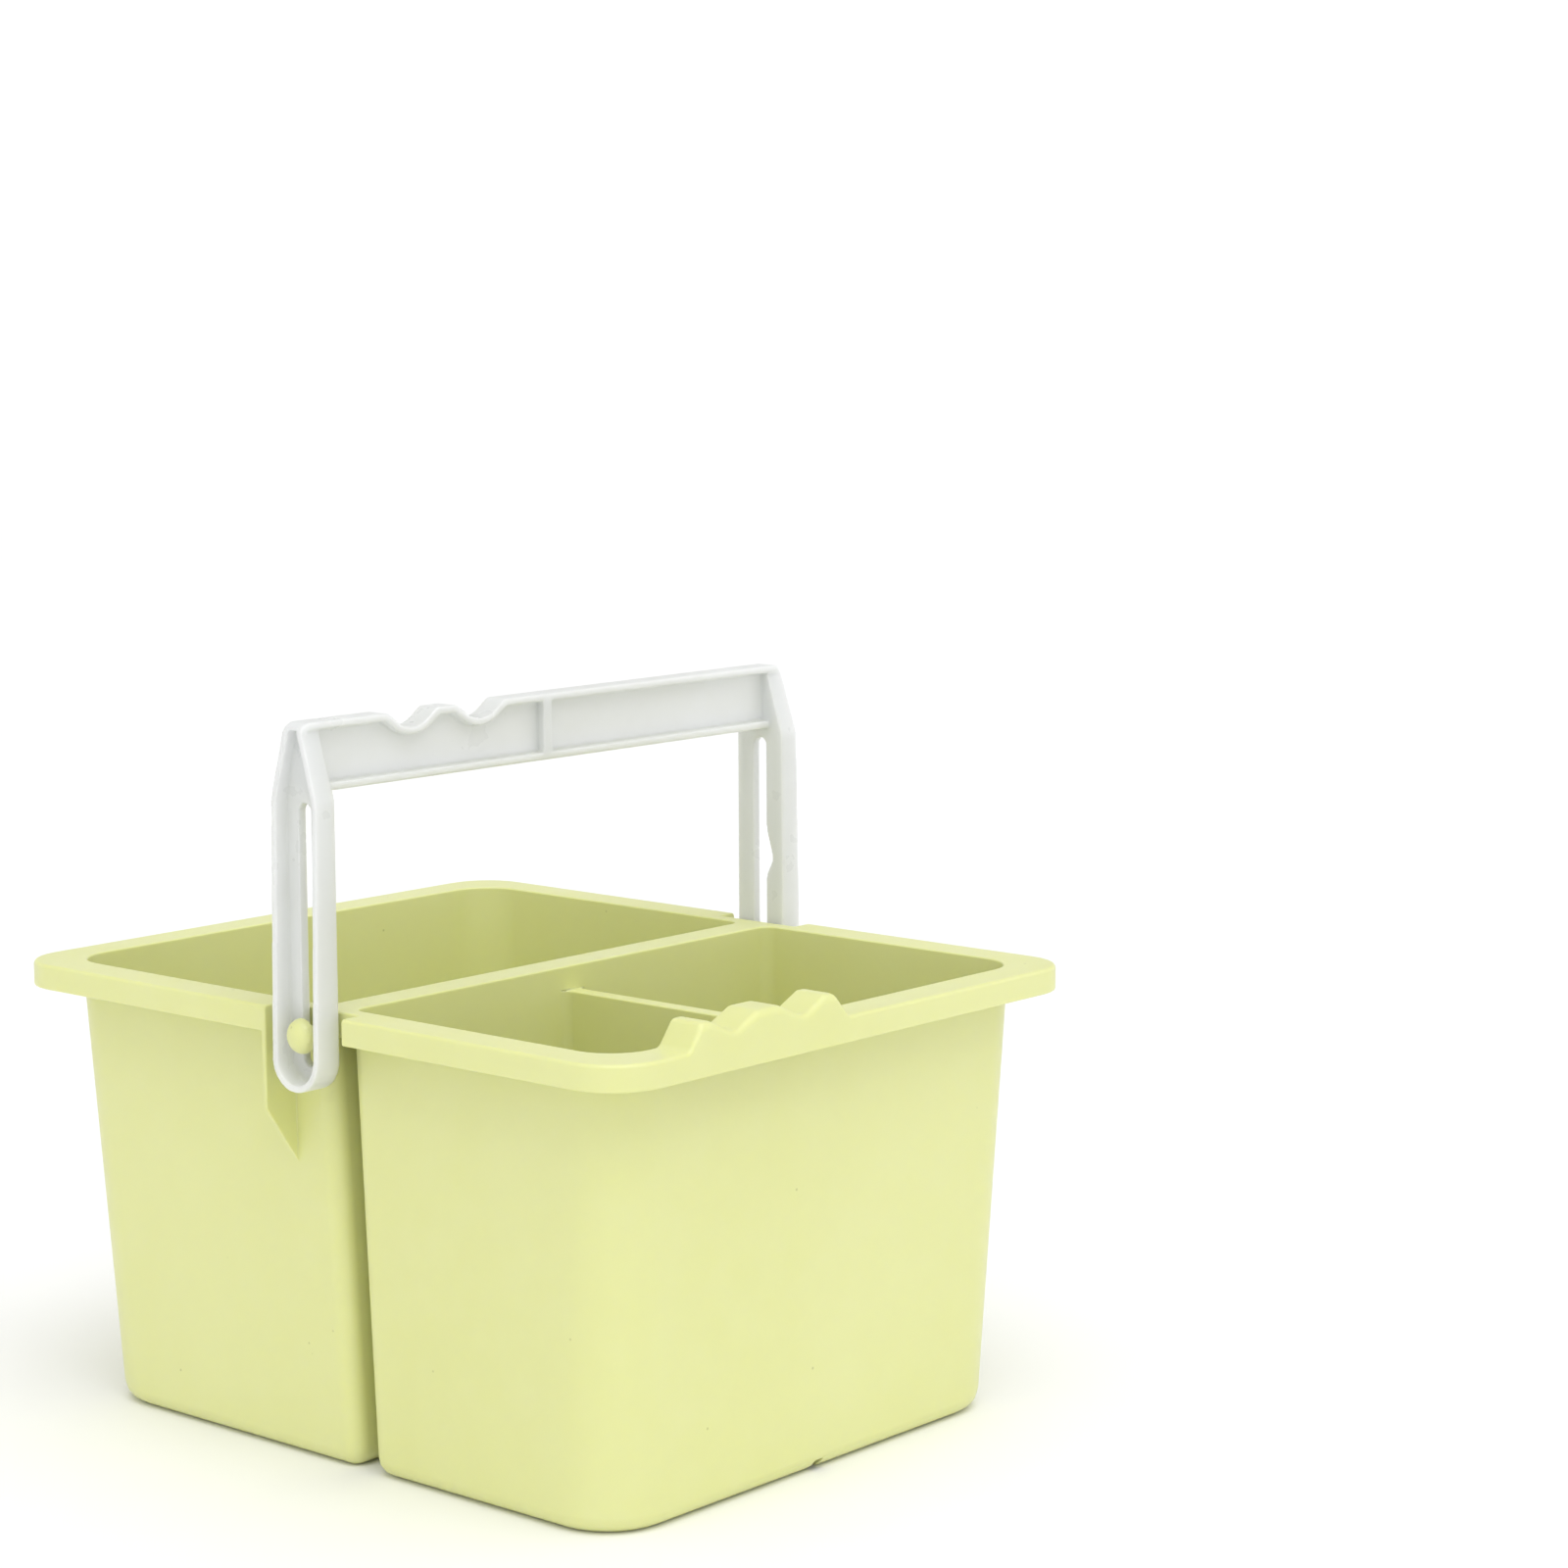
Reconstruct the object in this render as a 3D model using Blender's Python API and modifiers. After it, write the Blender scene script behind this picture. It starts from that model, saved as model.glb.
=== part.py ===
"""Two-bin cleaning caddy with a grip handle that slides up and down on two studs.

Metres, +Z up. The origin is on the floor under the middle of the tub, X runs along the grip bar,
and the bin with the scalloped lip and the partition faces -Y.
"""

import math

import bmesh
import bpy
from mathutils import Matrix

# Tub: the lip and the openings under it
RIM_HALF_X = 0.1400
RIM_HALF_Y = 0.1752
RIM_TOP = 0.1894
RIM_RADIUS = 0.0225
RIM_EDGE_RADIUS = 0.0016
SKIRT_DROP = 0.0106
LIP_WIDTH = 0.0167
WALL = 0.0020
OPENING_RADIUS = 0.0185
OPENING_Y = (-0.1585, 0.1580)

# Tub: the two bins, which taper to the floor
FOOT_HALF_X = 0.1207
FOOT_Y = (-0.1525, 0.1496)
FOOT_RADIUS = 0.0285
FLOOR = 0.0025
FLOOR_FILLET = 0.0078
INNER_CORNER = 0.0080
DIVIDER_TOP = (-0.0173, -0.0023)
DIVIDER_FOOT = (-0.0220, -0.0092)

# Tub: the partition of the front bin, hollow from below
PARTITION_DROP = 0.0100
PARTITION_HALF_TOP = 0.0035
PARTITION_HALF_FOOT = 0.0046
SLOT_HALF_TOP = 0.0012
SLOT_HALF_FOOT = 0.0024
SLOT_MOUTH_SKIN = 0.0007
SADDLE_MARGIN = 0.0020

# Tub: the scallops of the front lip, which keep tool handles apart
SCALLOP_MIDDLE = -0.0545
SCALLOP_REACH = 0.0458
SCALLOP_HEIGHT = 0.0100
SCALLOP_DIP = (0.0200, 0.0036)
SIDE_BUMP = (0.0332, 0.0382)
MIDDLE_BUMP = 0.0062
BUMP_EDGE_RADIUS = 0.0034
FLANK_RADIUS = 0.0045
SIDE_BUMP_RADII = (0.0035, 0.0040)
DIP_RADIUS = 0.0080
MIDDLE_BUMP_RADIUS = 0.0060

# Tub: the recesses that take the handle's legs
HANDLE_Y = -0.0063
RECESS_HALF_Y = 0.0220
RECESS_X = 0.1300
LUG_RADIUS = 0.0072
FIN_THICKNESS = 0.0024
FIN_STRAIGHT_Z = 0.1475
FIN_FOOT = (0.1190, 0.1165)

# Handle
LEG_INNER_X = 0.1325
LEG_FOOT_X = 0.1452
LEG_TOP_X = 0.1416
LEG_HALF_Y = 0.0130
LEG_TOP_Y = (-0.0032, 0.0052)
LEG_FOOT_Z = 0.1580
LEG_WEB = 0.0040
LEG_RIB = 0.0027
LEG_SHOULDER_RADIUS = 0.0100
LEG_TOP_RADIUS = 0.0008
GABLE_Z = 0.2730
BAR_TOP_Z = 0.3034
BAR_FOOT_Z = 0.2760
BAR_HALF_Y = 0.0055
BAR_END_RADIUS = 0.0046
BAR_FLANGE = 0.0030
BAR_WEB = 0.0026
BAR_CORNER = 0.0050
CHANNEL_RADIUS = 0.0010
MID_RIB = 0.0046
MID_RIB_X = -0.0063
SLOT_WIDTH = 0.0074
SLOT_FOOT_Z = 0.1672
SLOT_TOP_Z = 0.2715
POCKET_Z = (0.2100, 0.2177, 0.2310)
POCKET_DEPTH = 0.0037
POCKET_RADII = (0.0040, 0.0060, 0.0100)
NOTCH_CENTRES = (-0.0827, -0.0447)
NOTCH_HALF = 0.0138
NOTCH_DEPTH = 0.0100
NOTCH_SHOULDER = 0.0030
NOTCH_BOTTOM = 0.0140
NOTCH_CHANNEL_WIDER = 0.0011

# Studs
STUD_Z = 0.1800
SHANK_RADIUS = 0.0033
COLLAR_RADIUS = 0.0044
HEAD_RADIUS = 0.0071
HEAD_UNDERSIDE_X = 0.1399
HEAD_TOP_X = 0.1454
HEAD_CHAMFER = 0.0008
BARB_RADIUS = 0.0043
BARB_X = (0.1258, 0.1274)

GAP = 0.0003
FIT = 0.0003
BEYOND = 0.0200
HAIR = 0.00001
CORNER_STEPS = 7
TURNED_STEPS = 28
DOME_STEPS = 8

SKIRT_FOOT_Z = RIM_TOP - SKIRT_DROP
LIP_UNDERSIDE = RIM_TOP - WALL
OPENING_HALF_X = RIM_HALF_X - LIP_WIDTH
FRONT_BIN, REAR_BIN = "front", "rear"


def clear_scene():
    for obj in list(bpy.data.objects):
        bpy.data.objects.remove(obj, do_unlink=True)


def new_collection(name):
    collection = bpy.data.collections.new(name)
    bpy.context.scene.collection.children.link(collection)
    return collection


def plastic(name, colour, roughness, transmission):
    material = bpy.data.materials.new(name)
    material.use_nodes = True
    shader = material.node_tree.nodes["Principled BSDF"]
    shader.inputs["Base Color"].default_value = (*colour, 1)
    shader.inputs["Roughness"].default_value = roughness
    shader.inputs["Metallic"].default_value = 0
    shader.inputs["Transmission Weight"].default_value = transmission
    return material


def helper(obj):
    """Keeps a cutter or an added shape out of the renders."""
    obj.hide_render = True
    obj.display_type = "WIRE"
    for collection in list(obj.users_collection):
        collection.objects.unlink(obj)
    CONSTRUCTION.objects.link(obj)
    return obj


def mesh_object(name, bm):
    mesh = bpy.data.meshes.new(name)
    bm.to_mesh(mesh)
    bm.free()
    obj = bpy.data.objects.new(name, mesh)
    CADDY.objects.link(obj)
    return obj


def loft(name, rings):
    """A closed solid through rings of equal point counts, each counterclockwise about the way they run."""
    bm = bmesh.new()
    loops = [[bm.verts.new(point) for point in ring] for ring in rings]
    count = len(loops[0])
    for low, high in zip(loops, loops[1:]):
        for i in range(count):
            j = (i + 1) % count
            bm.faces.new((low[i], low[j], high[j], high[i]))
    bm.faces.new(reversed(loops[0]))
    bm.faces.new(loops[-1])
    return mesh_object(name, bm)


def rounded_outline(corners, steps=CORNER_STEPS):
    """The points of an outline whose corners are (u, v, radius), counterclockwise."""
    points = []
    for i, (u, v, radius) in enumerate(corners):
        if radius == 0:
            points.append((u, v))
            continue
        before = (corners[i - 1][0] - u, corners[i - 1][1] - v)
        after = (corners[(i + 1) % len(corners)][0] - u, corners[(i + 1) % len(corners)][1] - v)
        before = [c / math.hypot(*before) for c in before]
        after = [c / math.hypot(*after) for c in after]
        half = math.acos(before[0] * after[0] + before[1] * after[1]) / 2
        reach = radius / math.tan(half)
        middle = [before[k] + after[k] for k in (0, 1)]
        scale = radius / math.sin(half) / math.hypot(*middle)
        centre = (u + middle[0] * scale, v + middle[1] * scale)
        start = (u + before[0] * reach - centre[0], v + before[1] * reach - centre[1])
        end = (u + after[0] * reach - centre[0], v + after[1] * reach - centre[1])
        sweep = math.atan2(start[0] * end[1] - start[1] * end[0], start[0] * end[0] + start[1] * end[1])
        for k in range(steps + 1):
            angle = sweep * k / steps
            turned = (
                start[0] * math.cos(angle) - start[1] * math.sin(angle),
                start[0] * math.sin(angle) + start[1] * math.cos(angle),
            )
            points.append((centre[0] + turned[0], centre[1] + turned[1]))
    return points


def plan(x0, x1, y0, y1, front_radius, rear_radius, z):
    """A horizontal ring: a rectangle with its front (-Y) and rear corners rounded."""
    corners = ((x0, y0, front_radius), (x1, y0, front_radius), (x1, y1, rear_radius), (x0, y1, rear_radius))
    return [(x, y, z) for x, y in rounded_outline(corners)]


AXES = {
    "Z": Matrix.Identity(4),
    "X": Matrix(((0, 0, 1, 0), (1, 0, 0, 0), (0, 1, 0, 0), (0, 0, 0, 1))),
    "Y": Matrix(((1, 0, 0, 0), (0, 0, -1, 0), (0, 1, 0, 0), (0, 0, 0, 1))),
}


def slab(name, points, axis, low, high):
    """An outline of the Y-Z, X-Z or X-Y plane, extruded from low to high along the axis at right angles to it."""
    curve = bpy.data.curves.new(name, "CURVE")
    curve.dimensions = "2D"
    curve.fill_mode = "BOTH"
    curve.extrude = (high - low) / 2
    spline = curve.splines.new("POLY")
    spline.points.add(len(points) - 1)
    for point, (u, v) in zip(spline.points, points):
        point.co = (u, v, 0, 1)
    spline.use_cyclic_u = True
    guide = bpy.data.objects.new(name + "_outline", curve)
    CADDY.objects.link(guide)
    guide.matrix_world = AXES[axis]
    guide.location["XYZ".index(axis)] = (low + high) / 2
    bpy.context.view_layer.update()
    graph = bpy.context.evaluated_depsgraph_get()
    mesh = bpy.data.meshes.new_from_object(guide.evaluated_get(graph))
    mesh.transform(guide.matrix_world)
    bpy.data.objects.remove(guide, do_unlink=True)
    bm = bmesh.new()
    bm.from_mesh(mesh)
    bmesh.ops.remove_doubles(bm, verts=bm.verts, dist=1e-6)
    bmesh.ops.recalc_face_normals(bm, faces=bm.faces)
    return mesh_object(name, bm)


def rod(name, radius, low, high, y, z):
    """A cylinder along X."""
    bm = bmesh.new()
    place = Matrix.Translation(((low + high) / 2, y, z)) @ Matrix.Rotation(math.pi / 2, 4, "Y")
    bmesh.ops.create_cone(
        bm, cap_ends=True, segments=TURNED_STEPS, radius1=radius, radius2=radius, depth=high - low, matrix=place
    )
    return mesh_object(name, bm)


def block(name, x, y, z):
    """A box from three (low, high) pairs."""
    bm = bmesh.new()
    bmesh.ops.create_cube(bm, size=1)
    for vert in bm.verts:
        for axis, (low, high) in enumerate((x, y, z)):
            vert.co[axis] = low + (vert.co[axis] + 0.5) * (high - low)
    return mesh_object(name, bm)


def boolean(body, operation, others):
    for other in others:
        modifier = body.modifiers.new(other.name, "BOOLEAN")
        modifier.operation = operation
        modifier.solver = "EXACT"
        modifier.object = helper(other)
    return body


def cut(body, *others):
    return boolean(body, "DIFFERENCE", others)


def add(body, *others):
    return boolean(body, "UNION", others)


def blend(top, foot, z):
    """A size at height z that runs straight from the foot to the rim."""
    return foot + (top - foot) * z / RIM_TOP


def bin_ring(which, z, inset):
    """A ring of a bin's outer face at height z, moved in by inset. Over the rim it stays straight."""
    level = min(z, RIM_TOP)
    half_x = blend(OPENING_HALF_X + WALL, FOOT_HALF_X, level) - inset
    outer = max(blend(OPENING_RADIUS + WALL, FOOT_RADIUS, level) - inset, 0.001)
    inner = max(INNER_CORNER - inset, 0.001)
    if which == FRONT_BIN:
        front = blend(OPENING_Y[0] - WALL, FOOT_Y[0], level) + inset
        middle = blend(DIVIDER_TOP[0] + WALL, DIVIDER_FOOT[0] + WALL, level) - inset
        return (-half_x, half_x, front, middle, outer, inner)
    rear = blend(OPENING_Y[1] + WALL, FOOT_Y[1], level) - inset
    middle = blend(DIVIDER_TOP[1] - WALL, DIVIDER_FOOT[1] - WALL, level) + inset
    return (-half_x, half_x, middle, rear, inner, outer)


def filleted_levels(floor, fillet, top, steps=4):
    """(height, extra inset) pairs from a rounded floor edge up to top."""
    levels = []
    for k in range(steps + 1):
        angle = math.pi / 2 * k / steps
        levels.append((floor + fillet * (1 - math.cos(angle)), fillet * (1 - math.sin(angle))))
    return levels + list(top)


def bin_solid(which):
    levels = filleted_levels(0, FLOOR_FILLET, [(LIP_UNDERSIDE + WALL / 2, 0)])
    rings = [plan(*bin_ring(which, z, extra), z) for z, extra in levels]
    return loft(which + "_bin", rings)


def rear_hollow():
    top = RIM_TOP + BEYOND
    levels = filleted_levels(FLOOR, FLOOR_FILLET - WALL, [(RIM_TOP, 0), (top, 0)])
    return loft("rear_hollow", [plan(*bin_ring(REAR_BIN, z, WALL + extra), z) for z, extra in levels])


def front_hollow(side):
    """One compartment of the front bin. side is -1 for the one at -X and 1 for the one at +X."""
    levels = filleted_levels(FLOOR, FLOOR_FILLET - WALL, [(RIM_TOP, 0), (RIM_TOP + BEYOND, 0)])
    rings = []
    for z, extra in levels:
        x0, x1, y0, y1, outer, inner = bin_ring(FRONT_BIN, z, WALL + extra)
        near = blend(PARTITION_HALF_TOP, PARTITION_HALF_FOOT, min(z, RIM_TOP)) + extra
        corner = (INNER_CORNER - extra) / 2
        if side > 0:
            corners = ((near, y0, corner), (x1, y0, outer), (x1, y1, inner), (near, y1, corner))
        else:
            corners = ((x0, y0, outer), (-near, y0, corner), (-near, y1, corner), (x0, y1, inner))
        rings.append([(x, y, z) for x, y in rounded_outline(corners)])
    return loft("front_hollow_right" if side > 0 else "front_hollow_left", rings)


def partition_saddle():
    """The space over the partition, which joins the two compartments under the rim."""
    half = PARTITION_HALF_TOP + INNER_CORNER / 2 + SADDLE_MARGIN
    rings = []
    for z in (RIM_TOP - PARTITION_DROP, RIM_TOP, RIM_TOP + BEYOND):
        y0, y1 = bin_ring(FRONT_BIN, z, WALL)[2:4]
        rings.append([(-half, y0, z), (half, y0, z), (half, y1, z), (-half, y1, z)])
    return loft("partition_saddle", rings)


def partition_slot():
    """The wedge that hollows the partition from below."""
    top = RIM_TOP - PARTITION_DROP - WALL
    rings = []
    for z, skin in ((-FLOOR, SLOT_MOUTH_SKIN), (BEYOND, WALL), (top, WALL)):
        y0, y1 = bin_ring(FRONT_BIN, max(z, 0), skin)[2:4]
        half = blend(SLOT_HALF_TOP, SLOT_HALF_FOOT, z)
        back = y1 + skin - WALL
        rings.append([(-half, y0, z), (half, y0, z), (half, back, z), (-half, back, z)])
    return loft("partition_slot", rings)


def scallop_line(inset):
    """(x, height) points of the front lip's three bumps from -X to +X, with the flanks moved in by inset."""
    high, (dip_x, dip_z) = SCALLOP_HEIGHT, SCALLOP_DIP
    half = [
        (SCALLOP_REACH + BEYOND / 4, 0, 0),
        (SCALLOP_REACH - inset, 0, FLANK_RADIUS),
        (SIDE_BUMP[1] - inset, high, SIDE_BUMP_RADII[0]),
        (SIDE_BUMP[0], high, SIDE_BUMP_RADII[1]),
        (dip_x, dip_z, DIP_RADIUS),
        (MIDDLE_BUMP, high, MIDDLE_BUMP_RADIUS),
    ]
    left = [(SCALLOP_MIDDLE - x, z, radius) for x, z, radius in half]
    right = [(SCALLOP_MIDDLE + x, z, radius) for x, z, radius in reversed(half)]
    return rounded_outline(left + right, 5)


def bump_ridge():
    inner, outer = OPENING_Y[0] + 2 * WALL, -RIM_HALF_Y
    rings = []
    for x, height in scallop_line(0):
        top = RIM_TOP + height - HAIR
        edge = RIM_EDGE_RADIUS + (BUMP_EDGE_RADIUS - RIM_EDGE_RADIUS) * height / SCALLOP_HEIGHT
        rounding = [
            (x, outer + edge * (1 - math.sin(a)), top - edge * (1 - math.cos(a)))
            for a in (0, math.pi / 8, math.pi / 4, math.pi * 3 / 8, math.pi / 2)
        ]
        rings.append([(x, outer, SKIRT_FOOT_Z + WALL), (x, inner, SKIRT_FOOT_Z + WALL), (x, inner, top)] + rounding)
    return loft("bump_ridge", rings)


def bump_hollow():
    low, near, far = SKIRT_FOOT_Z + WALL, -RIM_HALF_Y + WALL, OPENING_Y[0] - WALL
    rings = []
    for x, height in scallop_line(WALL / 2):
        top = LIP_UNDERSIDE + height
        rings.append([(x, near, low), (x, far, low), (x, far, top), (x, near, top)])
    return loft("bump_hollow", rings)


def lip_block():
    """The lip as a solid plate with its outer top edge rounded."""
    levels = [(SKIRT_FOOT_Z, 0.0)]
    for k in range(4):
        angle = math.pi / 2 * k / 3
        levels.append((RIM_TOP - RIM_EDGE_RADIUS * (1 - math.sin(angle)), RIM_EDGE_RADIUS * (1 - math.cos(angle))))
    rings = []
    for z, inset in levels:
        x, y, radius = RIM_HALF_X - inset, RIM_HALF_Y - inset, RIM_RADIUS - inset
        rings.append(plan(-x, x, -y, y, radius, radius, z))
    return loft("tub", rings)


def lip_hollow():
    """The space under the lip, inside the skirt, cut back around the recesses."""
    x, y, radius = RIM_HALF_X - WALL, RIM_HALF_Y - WALL, RIM_RADIUS - WALL
    hollow = loft("lip_hollow", [plan(-x, x, -y, y, radius, radius, z) for z in (SKIRT_FOOT_Z - WALL, LIP_UNDERSIDE)])
    return cut(hollow, *(recess(side, WALL, "recess_clearance") for side in (-1, 1)))


def recess(side, grow, name):
    near = RECESS_X - grow
    x = sorted((side * near, side * (RIM_HALF_X + BEYOND)))
    y = (HANDLE_Y - RECESS_HALF_Y - grow, HANDLE_Y + RECESS_HALF_Y + grow)
    return block(name + ("_right" if side > 0 else "_left"), x, y, (SKIRT_FOOT_Z - BEYOND, RIM_TOP + BEYOND))


def fin(side):
    """The web under the lip at the rear end of a recess, running down to the wall."""
    foot_x, foot_z = FIN_FOOT
    outline = [
        (side * (RIM_HALF_X - HAIR), LIP_UNDERSIDE - RIM_EDGE_RADIUS),
        (side * (RIM_HALF_X - HAIR), FIN_STRAIGHT_Z),
        (side * foot_x, foot_z),
        (side * foot_x, LIP_UNDERSIDE - RIM_EDGE_RADIUS),
    ]
    low = HANDLE_Y + RECESS_HALF_Y
    return slab("fin_right" if side > 0 else "fin_left", outline, "Y", low, low + FIN_THICKNESS)


def lug(side):
    """The rounded tongue under a recess plate that holds a stud."""
    half, top = LUG_RADIUS, STUD_Z + LUG_RADIUS / 2
    foot = STUD_Z - LUG_RADIUS
    outline = rounded_outline(
        (
            (HANDLE_Y - half, foot, half * 0.999),
            (HANDLE_Y + half, foot, half * 0.999),
            (HANDLE_Y + half, top, 0),
            (HANDLE_Y - half, top, 0),
        )
    )
    low, high = sorted((side * (RECESS_X - WALL), side * (RECESS_X - HAIR)))
    return slab("lug_right" if side > 0 else "lug_left", outline, "X", low, high)


def stud_hole(side):
    low, high = sorted((side * (RECESS_X - 2 * WALL), side * (RECESS_X + WALL)))
    name = "stud_hole_right" if side > 0 else "stud_hole_left"
    return rod(name, SHANK_RADIUS + FIT, low, high, HANDLE_Y, STUD_Z)


def make_tub(material):
    tub = lip_block()
    add(tub, bump_ridge())
    cut(tub, *(recess(side, 0, "recess") for side in (-1, 1)))
    cut(tub, lip_hollow(), bump_hollow())
    add(tub, bin_solid(REAR_BIN), bin_solid(FRONT_BIN))
    add(tub, *(fin(side) for side in (-1, 1)))
    cut(tub, rear_hollow(), front_hollow(-1), front_hollow(1), partition_saddle(), partition_slot())
    add(tub, *(lug(side) for side in (-1, 1)))
    cut(tub, *(stud_hole(side) for side in (-1, 1)))
    tub.data.materials.append(material)
    return tub


def leg_outline(inset, top):
    """The gabled outline of a leg in the Y-Z plane."""
    half, foot, shoulder = LEG_HALF_Y - inset, LEG_FOOT_Z + inset, GABLE_Z - inset * 0.2
    corners = (
        (HANDLE_Y - half, foot, half * 0.999),
        (HANDLE_Y + half, foot, half * 0.999),
        (HANDLE_Y + half, shoulder, LEG_SHOULDER_RADIUS),
        (HANDLE_Y + LEG_TOP_Y[1] - inset * 0.7, top, LEG_TOP_RADIUS),
        (HANDLE_Y + LEG_TOP_Y[0] + inset * 0.7, top, LEG_TOP_RADIUS),
        (HANDLE_Y - half, shoulder, LEG_SHOULDER_RADIUS),
    )
    return rounded_outline(corners)


def leg(side):
    low, high = sorted((side * LEG_INNER_X, side * (LEG_FOOT_X + BEYOND)))
    return slab("leg_right" if side > 0 else "leg_left", leg_outline(0, BAR_TOP_Z + 0.001), "X", low, high)


def leg_panel(side):
    """The channel in the outer face of a leg, which leaves its web and the ribs around it."""
    low, high = sorted((side * (LEG_INNER_X + LEG_WEB), side * (LEG_FOOT_X + BEYOND)))
    name = "panel_right" if side > 0 else "panel_left"
    return slab(name, leg_outline(LEG_RIB, BAR_TOP_Z - BAR_FLANGE), "X", low, high)


def leg_slot(side):
    """The slot that the stud runs in, with a shallow pocket in its front edge."""
    half = SLOT_WIDTH / 2
    front = HANDLE_Y - half
    low_z, deep_z, high_z = POCKET_Z
    corners = (
        (front, SLOT_FOOT_Z, half * 0.999),
        (HANDLE_Y + half, SLOT_FOOT_Z, half * 0.999),
        (HANDLE_Y + half, SLOT_TOP_Z, half * 0.999),
        (front, SLOT_TOP_Z, half * 0.999),
        (front, high_z, POCKET_RADII[2]),
        (front - POCKET_DEPTH, deep_z, POCKET_RADII[1]),
        (front, low_z, POCKET_RADII[0]),
    )
    low, high = sorted((side * (LEG_INNER_X - LEG_WEB), side * (LEG_FOOT_X + BEYOND)))
    return slab("slot_right" if side > 0 else "slot_left", rounded_outline(corners, 6), "X", low, high)


def notched_edge(level, half, shoulder, bottom):
    """The two finger notches of a level edge, from +X to -X."""
    corners = []
    for centre in reversed(NOTCH_CENTRES):
        corners.append((centre + half, level, shoulder))
        corners.append((centre, level - NOTCH_DEPTH, bottom))
        corners.append((centre - half, level, shoulder))
    return corners


def grip_block():
    """The grip bar before its channels, a bit too high."""
    x, y = LEG_TOP_X, BAR_HALF_Y
    corners = (
        (-x, HANDLE_Y - y, BAR_END_RADIUS),
        (x, HANDLE_Y - y, BAR_END_RADIUS),
        (x, HANDLE_Y + y, BAR_END_RADIUS),
        (-x, HANDLE_Y + y, BAR_END_RADIUS),
    )
    return slab("handle", rounded_outline(corners), "Z", BAR_FOOT_Z, BAR_TOP_Z + 0.001)


def grip_channel(side, face):
    """A channel of the I-beam grip. side is the half of the bar, face the side of its web."""
    foot, top = BAR_FOOT_Z + BAR_FLANGE, BAR_TOP_Z - BAR_FLANGE
    near, end = MID_RIB_X + side * MID_RIB / 2, side * (LEG_TOP_X + BEYOND)
    if side > 0:
        corners = [(near, foot, CHANNEL_RADIUS), (end, foot, 0), (end, top, 0), (near, top, CHANNEL_RADIUS)]
    else:
        corners = [(end, foot, 0), (near, foot, CHANNEL_RADIUS), (near, top, CHANNEL_RADIUS)]
        corners += notched_edge(top, NOTCH_HALF + NOTCH_CHANNEL_WIDER, NOTCH_SHOULDER / 3, NOTCH_BOTTOM + BAR_FLANGE)
        corners.append((end, top, 0))
    low, high = sorted((HANDLE_Y + face * BAR_WEB / 2, HANDLE_Y + face * (BAR_HALF_Y + BEYOND)))
    name = "channel_" + ("right" if side > 0 else "left") + ("_rear" if face > 0 else "_front")
    return slab(name, rounded_outline(corners), "Y", low, high)


def handle_envelope():
    """The handle's front view: drafted sides, rounded top ends and the notches in its top edge."""
    foot = LEG_FOOT_Z - BEYOND
    corners = [(-LEG_FOOT_X, foot, 0), (LEG_FOOT_X, foot, 0), (LEG_TOP_X, BAR_TOP_Z, BAR_CORNER)]
    corners += notched_edge(BAR_TOP_Z, NOTCH_HALF, NOTCH_SHOULDER, NOTCH_BOTTOM)
    corners.append((-LEG_TOP_X, BAR_TOP_Z, BAR_CORNER))
    reach = LEG_HALF_Y + BEYOND
    return slab("envelope", rounded_outline(corners), "Y", HANDLE_Y - reach, HANDLE_Y + reach)


def make_handle(material):
    handle = grip_block()
    cut(handle, *(grip_channel(side, face) for side in (-1, 1) for face in (-1, 1)))
    add(handle, leg(-1), leg(1))
    boolean(handle, "INTERSECT", [handle_envelope()])
    cut(handle, *(leg_panel(side) for side in (-1, 1)))
    cut(handle, *(leg_slot(side) for side in (-1, 1)))
    handle.data.materials.append(material)
    return handle


def make_stud(side, material):
    """A stud turned about its own axis: barb behind the lug, shank, collar at the leg's web and domed head."""
    collar_x = LEG_INNER_X + LEG_WEB + GAP
    dome = HEAD_TOP_X - HEAD_UNDERSIDE_X
    profile = [(0.0, BARB_X[0]), (SHANK_RADIUS, BARB_X[0]), (BARB_RADIUS, BARB_X[1]), (SHANK_RADIUS, BARB_X[1])]
    profile += [(SHANK_RADIUS, collar_x), (COLLAR_RADIUS, collar_x), (COLLAR_RADIUS, HEAD_UNDERSIDE_X - HEAD_CHAMFER)]
    for k in range(DOME_STEPS + 1):
        angle = math.pi / 2 * k / DOME_STEPS
        profile.append((HEAD_RADIUS * math.cos(angle), HEAD_UNDERSIDE_X + dome * math.sin(angle)))
    bm = bmesh.new()
    verts = [bm.verts.new((max(r, 0), 0, x)) for r, x in profile]
    for a, b in zip(verts, verts[1:]):
        bm.edges.new((b, a))
    name = "pivot_stud_right" if side > 0 else "pivot_stud_left"
    stud = mesh_object(name, bm)
    screw = stud.modifiers.new("Screw", "SCREW")
    screw.axis = "Z"
    screw.steps = screw.render_steps = TURNED_STEPS
    screw.use_merge_vertices = True
    screw.merge_threshold = 1e-5
    stud.location = (0, HANDLE_Y, STUD_Z)
    stud.rotation_euler = (0, side * math.pi / 2, 0)
    stud.data.materials.append(material)
    return stud


def smooth_round_faces(obj):
    obj.data.shade_smooth()
    obj.data.set_sharp_from_angle(angle=math.radians(30))


def main():
    clear_scene()
    tub_plastic = plastic("tub_plastic", (0.72, 0.75, 0.31), 0.38, 0.0)
    handle_plastic = plastic("handle_plastic", (0.72, 0.74, 0.70), 0.35, 0.3)
    make_tub(tub_plastic)
    make_handle(handle_plastic)
    for side in (-1, 1):
        smooth_round_faces(make_stud(side, tub_plastic))


CADDY = new_collection("cleaning_caddy")
CONSTRUCTION = new_collection("construction")

if __name__ == "__main__":
    main()
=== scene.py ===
import math

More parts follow.
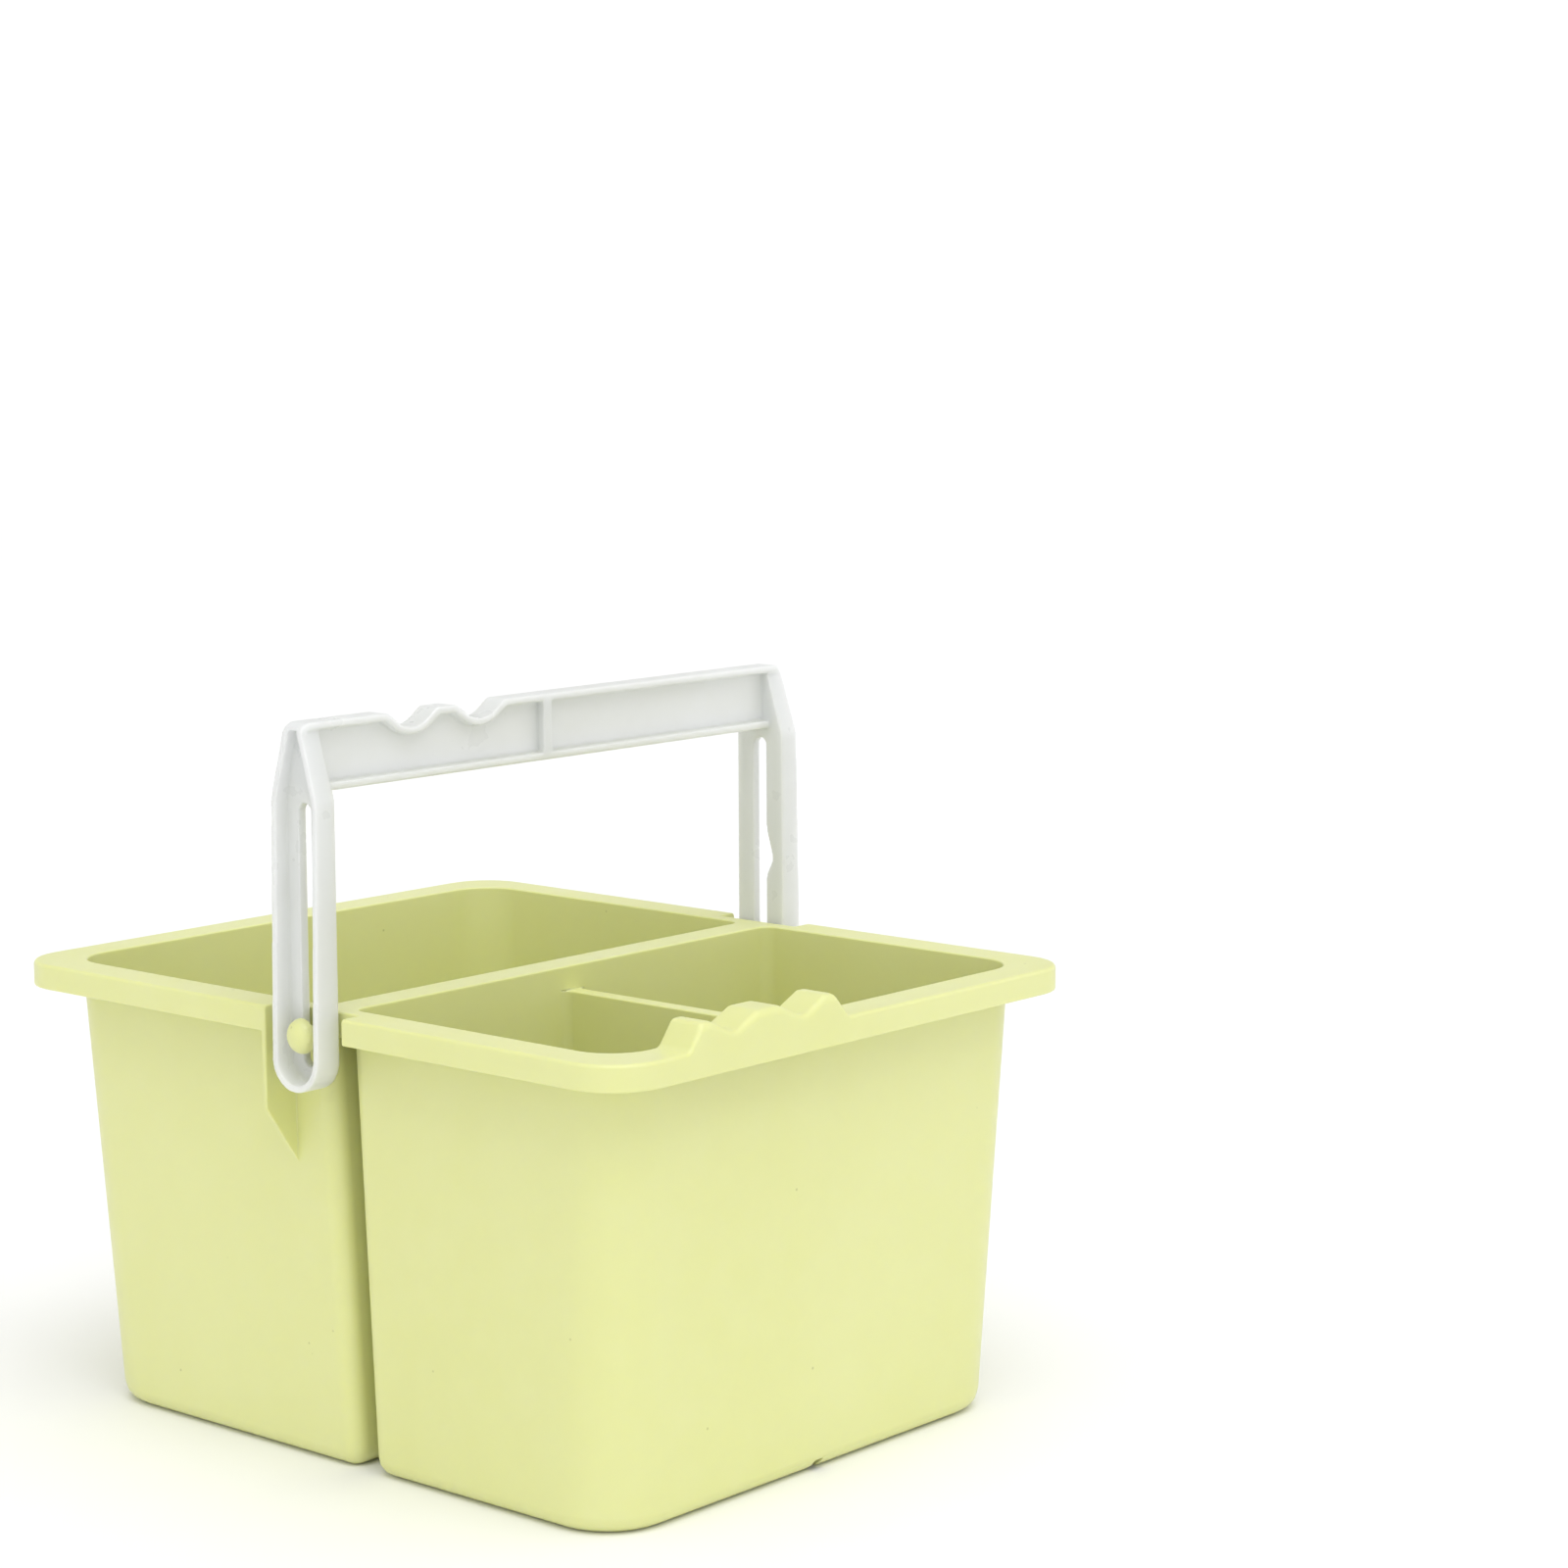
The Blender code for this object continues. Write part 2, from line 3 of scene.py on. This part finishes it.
import bmesh
import bpy
from mathutils import Matrix, Vector
from mathutils.bvhtree import BVHTree


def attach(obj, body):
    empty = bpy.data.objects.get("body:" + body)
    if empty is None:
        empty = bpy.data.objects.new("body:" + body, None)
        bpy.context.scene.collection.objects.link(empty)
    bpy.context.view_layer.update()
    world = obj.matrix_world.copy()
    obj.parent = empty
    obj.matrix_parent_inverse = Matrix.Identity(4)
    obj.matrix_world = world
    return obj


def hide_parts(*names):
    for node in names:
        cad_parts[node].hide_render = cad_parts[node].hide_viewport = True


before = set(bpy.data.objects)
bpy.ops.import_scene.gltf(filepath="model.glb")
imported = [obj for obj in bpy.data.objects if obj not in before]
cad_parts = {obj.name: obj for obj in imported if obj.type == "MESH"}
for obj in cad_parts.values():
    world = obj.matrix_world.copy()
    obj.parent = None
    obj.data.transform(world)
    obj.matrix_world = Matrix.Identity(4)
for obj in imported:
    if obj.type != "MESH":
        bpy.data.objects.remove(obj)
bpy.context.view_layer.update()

# Camera: its place in metres and its angles in degrees, in the frame of the part
CAMERA_PLACE = Vector((-1.1126, -1.0941, 0.4769))
CAMERA_AZIMUTH = -49.2257
CAMERA_ELEVATION = 7.798
CAMERA_ROLL = -0.218
CAMERA_LENS = 86.546
CAMERA_SENSOR = 36

# Studio: the floor is flat to FLOOR_RADIUS, then sweeps up all round
FLOOR_PINHOLE = 0.0001
FLOOR_INNER = 1.5
FLOOR_RADIUS = 9.0
SWEEP_RADIUS = 4.0
SWEEP_RISE = 2.6
FLOOR_SEGMENTS = 96
FLOOR_DULL = (0.93, 0.93, 0.93)
FLOOR_WHITE = (0.95, 0.95, 0.95)
SWEEP_STEPS = 12
LIT_MIDDLE = Vector((0, 0, 0.12))
SOFTBOX_WIDTH = 0.7
SOFTBOX_HEIGHT = 1.8
WORLD_STRENGTH = 0.50
# Each sun: direction, width in degrees, strength
SUNS = {"key_sun": ((-0.75, -1.0, 2.20), 50, 0.85), "top_sun": ((0.0, -0.15, 1.0), 70, 1.10)}
# Each softbox: place, power in watts
SOFTBOXES = {
    "left_box": ((-2.2, 0.2, 0.9), 4),
    "front_box": ((-0.6, -2.3, 1.0), 4),
    "right_box": ((2.0, -1.2, 0.9), 3),
}

# Tub: faces within FLAT_ANGLE become one, and an edge sharper than SHARP_ANGLE is cut back by
# TUB_EDGE, unless it or its face is under SLIVER. STRAY is the furthest that a cut may stand off
# the surface, in widths of the cut.
TUB_WELD = 0.00006
FLAT_ANGLE = math.radians(0.6)
SHARP_ANGLE = math.radians(40)
SMOOTH_ANGLE = math.radians(35)
TUB_EDGE = 0.00075
EDGE_SEGMENTS = 3
SLIVER = 0.00012
STRAY = 1.3

# Handle: voxel size of its skin, rounds of smoothing, and the share of its faces that is kept
HANDLE_WELD = 0.000002
HANDLE_VOXEL = 0.0005
HANDLE_SMOOTHING = 4
HANDLE_KEPT = 0.48

# Plastics: base colours, linear
YELLOW = (0.755, 0.775, 0.365)
YELLOW_DEEP = (0.735, 0.755, 0.330)
YELLOW_PALE = (0.762, 0.782, 0.395)
SPECK = (0.30, 0.31, 0.10)
POLYPROPYLENE_IOR = 1.49
MILK = (0.700, 0.716, 0.716)
MILK_WARM = (0.672, 0.684, 0.670)


def look_frame():
    """The camera's axes as the columns of a rotation."""
    degrees = (CAMERA_AZIMUTH, CAMERA_ELEVATION, CAMERA_ROLL)
    azimuth, elevation, roll = (math.radians(angle) for angle in degrees)
    level = math.cos(elevation)
    back = Vector((math.sin(azimuth) * level, -math.cos(azimuth) * level, math.sin(elevation)))
    right = Vector((math.cos(azimuth), math.sin(azimuth), 0))
    up = back.cross(right)
    rolled_right = math.cos(roll) * right + math.sin(roll) * up
    rolled_up = -math.sin(roll) * right + math.cos(roll) * up
    return Matrix((rolled_right, rolled_up, back)).transposed()


def make_camera():
    camera = bpy.data.objects.new("camera", bpy.data.cameras.new("camera"))
    bpy.context.scene.collection.objects.link(camera)
    camera.matrix_world = Matrix.Translation(CAMERA_PLACE) @ look_frame().to_4x4()
    camera.data.sensor_width = CAMERA_SENSOR
    camera.data.lens = CAMERA_LENS
    camera.data.clip_start = 0.01
    bpy.context.scene.camera = camera


def softbox(name, place, power):
    """A soft upright lamp that faces the middle of the caddy."""
    light = bpy.data.lights.new(name, "AREA")
    light.shape = "RECTANGLE"
    light.size = SOFTBOX_WIDTH
    light.size_y = SOFTBOX_HEIGHT
    light.energy = power
    obj = bpy.data.objects.new(name, light)
    bpy.context.scene.collection.objects.link(obj)
    obj.location = place
    obj.rotation_euler = (LIT_MIDDLE - Vector(place)).to_track_quat("-Z", "Y").to_euler()


def sun(name, direction, width, strength):
    """Light from a broad patch of sky in that direction, as even on the far floor as on the caddy."""
    light = bpy.data.lights.new(name, "SUN")
    light.angle = math.radians(width)
    light.energy = strength
    obj = bpy.data.objects.new(name, light)
    bpy.context.scene.collection.objects.link(obj)
    obj.rotation_euler = Vector(direction).to_track_quat("Z", "Y").to_euler()


def make_lights():
    world = bpy.data.worlds.new("studio")
    bpy.context.scene.world = world
    world.use_nodes = True
    background = world.node_tree.nodes["Background"]
    background.inputs["Color"].default_value = (1, 1, 1, 1)
    background.inputs["Strength"].default_value = WORLD_STRENGTH
    for name, (direction, width, strength) in SUNS.items():
        sun(name, direction, width, strength)
    for name, (place, power) in SOFTBOXES.items():
        softbox(name, place, power)


def spun_sheet(name, profile, segments):
    """A sheet from a (radius, height) profile turned about the Z axis."""
    bm = bmesh.new()
    verts = [bm.verts.new((radius, 0, height)) for radius, height in profile]
    edges = [bm.edges.new(pair) for pair in zip(verts, verts[1:])]
    bmesh.ops.spin(
        bm, geom=verts + edges, axis=(0, 0, 1), cent=(0, 0, 0),
        angle=math.tau, steps=segments, use_merge=True,
    )
    bmesh.ops.remove_doubles(bm, verts=bm.verts, dist=0.0001)
    bmesh.ops.recalc_face_normals(bm, faces=bm.faces)
    mesh = bpy.data.meshes.new(name)
    bm.to_mesh(mesh)
    bm.free()
    mesh.shade_smooth()
    obj = bpy.data.objects.new(name, mesh)
    bpy.context.scene.collection.objects.link(obj)
    return obj


def make_floor():
    """A pale round floor that sweeps up all round, so that it has no horizon from any side."""
    profile = [(FLOOR_PINHOLE, 0), (FLOOR_INNER, 0), (FLOOR_RADIUS, 0)]
    for k in range(1, SWEEP_STEPS + 1):
        angle = math.pi / 2 * k / SWEEP_STEPS
        radius = FLOOR_RADIUS + SWEEP_RADIUS * math.sin(angle)
        profile.append((radius, SWEEP_RISE * (1 - math.cos(angle))))
    floor = spun_sheet("floor", profile, FLOOR_SEGMENTS)
    floor.data.materials.append(floor_paint())


class Nodes:
    """The node tree of a new material, with short calls to add and join nodes."""

    def __init__(self, name):
        self.material = bpy.data.materials.new(name)
        self.material.use_nodes = True
        self.tree = self.material.node_tree
        self.shader = self.tree.nodes["Principled BSDF"]
        self.place = self.tree.nodes.new("ShaderNodeTexCoord").outputs["Object"]

    def set(self, **values):
        for name, value in values.items():
            self.shader.inputs[name.replace("_", " ")].default_value = value

    def join(self, source, target):
        self.tree.links.new(source, target)

    def scaled(self, scale):
        """The object's coordinates, stretched."""
        mapping = self.tree.nodes.new("ShaderNodeMapping")
        mapping.inputs["Scale"].default_value = scale
        self.join(self.place, mapping.inputs["Vector"])
        return mapping.outputs["Vector"]

    def noise(self, scale, detail=3.0, roughness=0.5, stretch=None):
        node = self.tree.nodes.new("ShaderNodeTexNoise")
        node.inputs["Scale"].default_value = scale
        node.inputs["Detail"].default_value = detail
        node.inputs["Roughness"].default_value = roughness
        self.join(self.scaled(stretch) if stretch else self.place, node.inputs["Vector"])
        return node.outputs["Fac"]

    def specks(self, scale, radius):
        """1 in rare small round spots."""
        node = self.tree.nodes.new("ShaderNodeTexVoronoi")
        node.inputs["Scale"].default_value = scale
        self.join(self.place, node.inputs["Vector"])
        return self.remap(node.outputs["Distance"], radius, radius * 0.4, 0, 1)

    def remap(self, value, low, high, to_low, to_high):
        node = self.tree.nodes.new("ShaderNodeMapRange")
        node.inputs["From Min"].default_value = low
        node.inputs["From Max"].default_value = high
        node.inputs["To Min"].default_value = to_low
        node.inputs["To Max"].default_value = to_high
        self.join(value, node.inputs["Value"])
        return node.outputs["Result"]

    def maths(self, operation, a, b):
        node = self.tree.nodes.new("ShaderNodeMath")
        node.operation = operation
        for socket, value in zip(node.inputs, (a, b)):
            if isinstance(value, (int, float)):
                socket.default_value = value
            else:
                self.join(value, socket)
        return node.outputs["Value"]

    def mix(self, factor, a, b):
        """A colour between a and b. Either is a colour or a socket."""
        node = self.tree.nodes.new("ShaderNodeMix")
        node.data_type = "RGBA"
        self.join(factor, node.inputs["Factor"])
        for name, value in (("A", a), ("B", b)):
            socket = next(s for s in node.inputs if s.name == name and s.type == "RGBA")
            if isinstance(value, tuple):
                socket.default_value = (*value, 1)
            else:
                self.join(value, socket)
        return next(s for s in node.outputs if s.type == "RGBA")

    def bump(self, height, strength, distance, below=None):
        node = self.tree.nodes.new("ShaderNodeBump")
        node.inputs["Strength"].default_value = strength
        node.inputs["Distance"].default_value = distance
        self.join(height, node.inputs["Height"])
        if below is not None:
            self.join(below, node.inputs["Normal"])
        return node.outputs["Normal"]


def floor_paint():
    paint = Nodes("floor_paint")
    tone = paint.remap(paint.noise(0.8, 2), 0.3, 0.7, 0, 1)
    paint.join(paint.mix(tone, FLOOR_DULL, FLOOR_WHITE), paint.shader.inputs["Base Color"])
    paint.join(paint.remap(paint.noise(30), 0.3, 0.7, 0.75, 0.85), paint.shader.inputs["Roughness"])
    return paint.material


def yellow_plastic():
    """Pale yellow polypropylene: satin, faintly flow-marked, with fine grain and a few dark specks."""
    plastic = Nodes("yellow_polypropylene")
    plastic.set(
        IOR=POLYPROPYLENE_IOR, Subsurface_Weight=0.35, Subsurface_Scale=0.002,
        Subsurface_Radius=(1.0, 0.9, 0.3),
    )
    flow = plastic.noise(5.5, 4, 0.55, stretch=(1.0, 1.0, 0.45))
    colour = plastic.mix(plastic.remap(flow, 0.32, 0.68, 0, 1), YELLOW_DEEP, YELLOW)
    mottle = plastic.remap(plastic.noise(60, 3), 0.4, 0.75, 0, 0.35)
    colour = plastic.mix(mottle, colour, YELLOW_PALE)
    speck = plastic.maths("MULTIPLY", plastic.specks(45, 0.035), 0.45)
    colour = plastic.mix(speck, colour, SPECK)
    plastic.join(colour, plastic.shader.inputs["Base Color"])
    satin = plastic.remap(plastic.noise(38, 5), 0.3, 0.7, 0.30, 0.42)
    plastic.join(satin, plastic.shader.inputs["Roughness"])
    waves = plastic.bump(plastic.noise(14, 2), 0.25, 0.0006)
    grain = plastic.bump(plastic.noise(2400, 2), 0.10, 0.00006, waves)
    plastic.join(grain, plastic.shader.inputs["Normal"])
    return plastic.material


def milky_plastic():
    """Unpigmented polypropylene: cloudy, with light scattered deep inside it."""
    plastic = Nodes("natural_polypropylene")
    plastic.set(
        IOR=POLYPROPYLENE_IOR, Subsurface_Weight=1.0, Subsurface_Scale=0.010,
        Subsurface_Radius=(1.0, 1.0, 1.0),
    )
    cloud = plastic.remap(plastic.noise(24, 4, 0.6), 0.3, 0.7, 0, 1)
    plastic.join(plastic.mix(cloud, MILK_WARM, MILK), plastic.shader.inputs["Base Color"])
    satin = plastic.remap(plastic.noise(55, 4), 0.3, 0.7, 0.26, 0.38)
    plastic.join(satin, plastic.shader.inputs["Roughness"])
    waves = plastic.bump(plastic.noise(40, 2), 0.25, 0.0004)
    grain = plastic.bump(plastic.noise(2600, 2), 0.08, 0.00005, waves)
    plastic.join(grain, plastic.shader.inputs["Normal"])
    return plastic.material


def worth_rounding(edge):
    """A sharp edge between two faces that are wide enough to be cut back."""
    if not edge.is_manifold or edge.calc_length() < SLIVER or edge.calc_face_angle() < SHARP_ANGLE:
        return False
    for face in edge.link_faces:
        longest = max(side.calc_length() for side in face.edges)
        if face.calc_area() / longest < SLIVER:
            return False
    return True


def round_edges(bm, width):
    """Rounds the sharp edges. A vertex that this throws off the surface is laid back on it."""
    surface = BVHTree.FromBMesh(bm)
    sharp = [edge for edge in bm.edges if worth_rounding(edge)]
    bmesh.ops.bevel(
        bm, geom=sharp, offset=width, offset_type="OFFSET", segments=EDGE_SEGMENTS, profile=0.5,
        affect="EDGES", clamp_overlap=False, miter_outer="ARC",
    )
    for vert in bm.verts:
        nearest, _, _, distance = surface.find_nearest(vert.co)
        if distance > STRAY * width:
            vert.co = nearest
    bmesh.ops.remove_doubles(bm, verts=bm.verts, dist=TUB_WELD / 4)


def stand_in(name, mesh, node, body, material):
    """Puts a mesh in the scene as the visible form of a CAD node."""
    piece = bpy.data.objects.new(name, mesh)
    bpy.context.scene.collection.objects.link(piece)
    mesh.materials.clear()
    mesh.materials.append(material)
    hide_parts(node)
    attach(piece, body)
    return piece


def merged_mesh(name, node, distance):
    """A CAD node's mesh with its triangles joined at their corners, without the stored normals."""
    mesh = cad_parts[node].data.copy()
    mesh.name = name
    for layer in ("custom_normal", "sharp_edge", "sharp_face"):
        if layer in mesh.attributes:
            mesh.attributes.remove(mesh.attributes[layer])
    bm = bmesh.new()
    bm.from_mesh(mesh)
    bmesh.ops.remove_doubles(bm, verts=bm.verts, dist=distance)
    return mesh, bm


def make_tub(material):
    """The tub with its flat faces made whole and its edges rounded."""
    mesh, bm = merged_mesh("caddy_tub", "tub", TUB_WELD)
    bmesh.ops.dissolve_degenerate(bm, edges=bm.edges, dist=TUB_WELD)
    bmesh.ops.dissolve_limit(
        bm, angle_limit=FLAT_ANGLE, use_dissolve_boundaries=False, verts=bm.verts, edges=bm.edges
    )
    round_edges(bm, TUB_EDGE)
    bm.to_mesh(mesh)
    bm.free()
    mesh.shade_smooth()
    mesh.set_sharp_from_angle(angle=SMOOTH_ANGLE)
    tub = stand_in("caddy_tub", mesh, "tub", "tub", material)
    weighted = tub.modifiers.new("flat_faces_flat", "WEIGHTED_NORMAL")
    weighted.keep_sharp = True


def make_handle(material):
    """The handle as a fine even skin, relaxed a little so that every edge and inner corner is round."""
    mesh, bm = merged_mesh("grip_handle", "handle", HANDLE_WELD)
    bm.to_mesh(mesh)
    bm.free()
    handle = stand_in("grip_handle", mesh, "handle", "handle", material)
    skin = handle.modifiers.new("even_skin", "REMESH")
    skin.mode = "VOXEL"
    skin.voxel_size = HANDLE_VOXEL
    skin.use_smooth_shade = True
    relax = handle.modifiers.new("round_edges", "SMOOTH")
    relax.factor = 0.5
    relax.iterations = HANDLE_SMOOTHING
    thin = handle.modifiers.new("fewer_faces", "DECIMATE")
    thin.ratio = HANDLE_KEPT


def make_caddy():
    yellow, milky = yellow_plastic(), milky_plastic()
    make_tub(yellow)
    make_handle(milky)
    for side in ("left", "right"):
        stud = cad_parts["pivot_stud_" + side]
        stud.data.materials.clear()
        stud.data.materials.append(yellow)


bpy.context.scene.view_settings.view_transform = "Standard"
make_camera()
make_lights()
make_floor()
make_caddy()
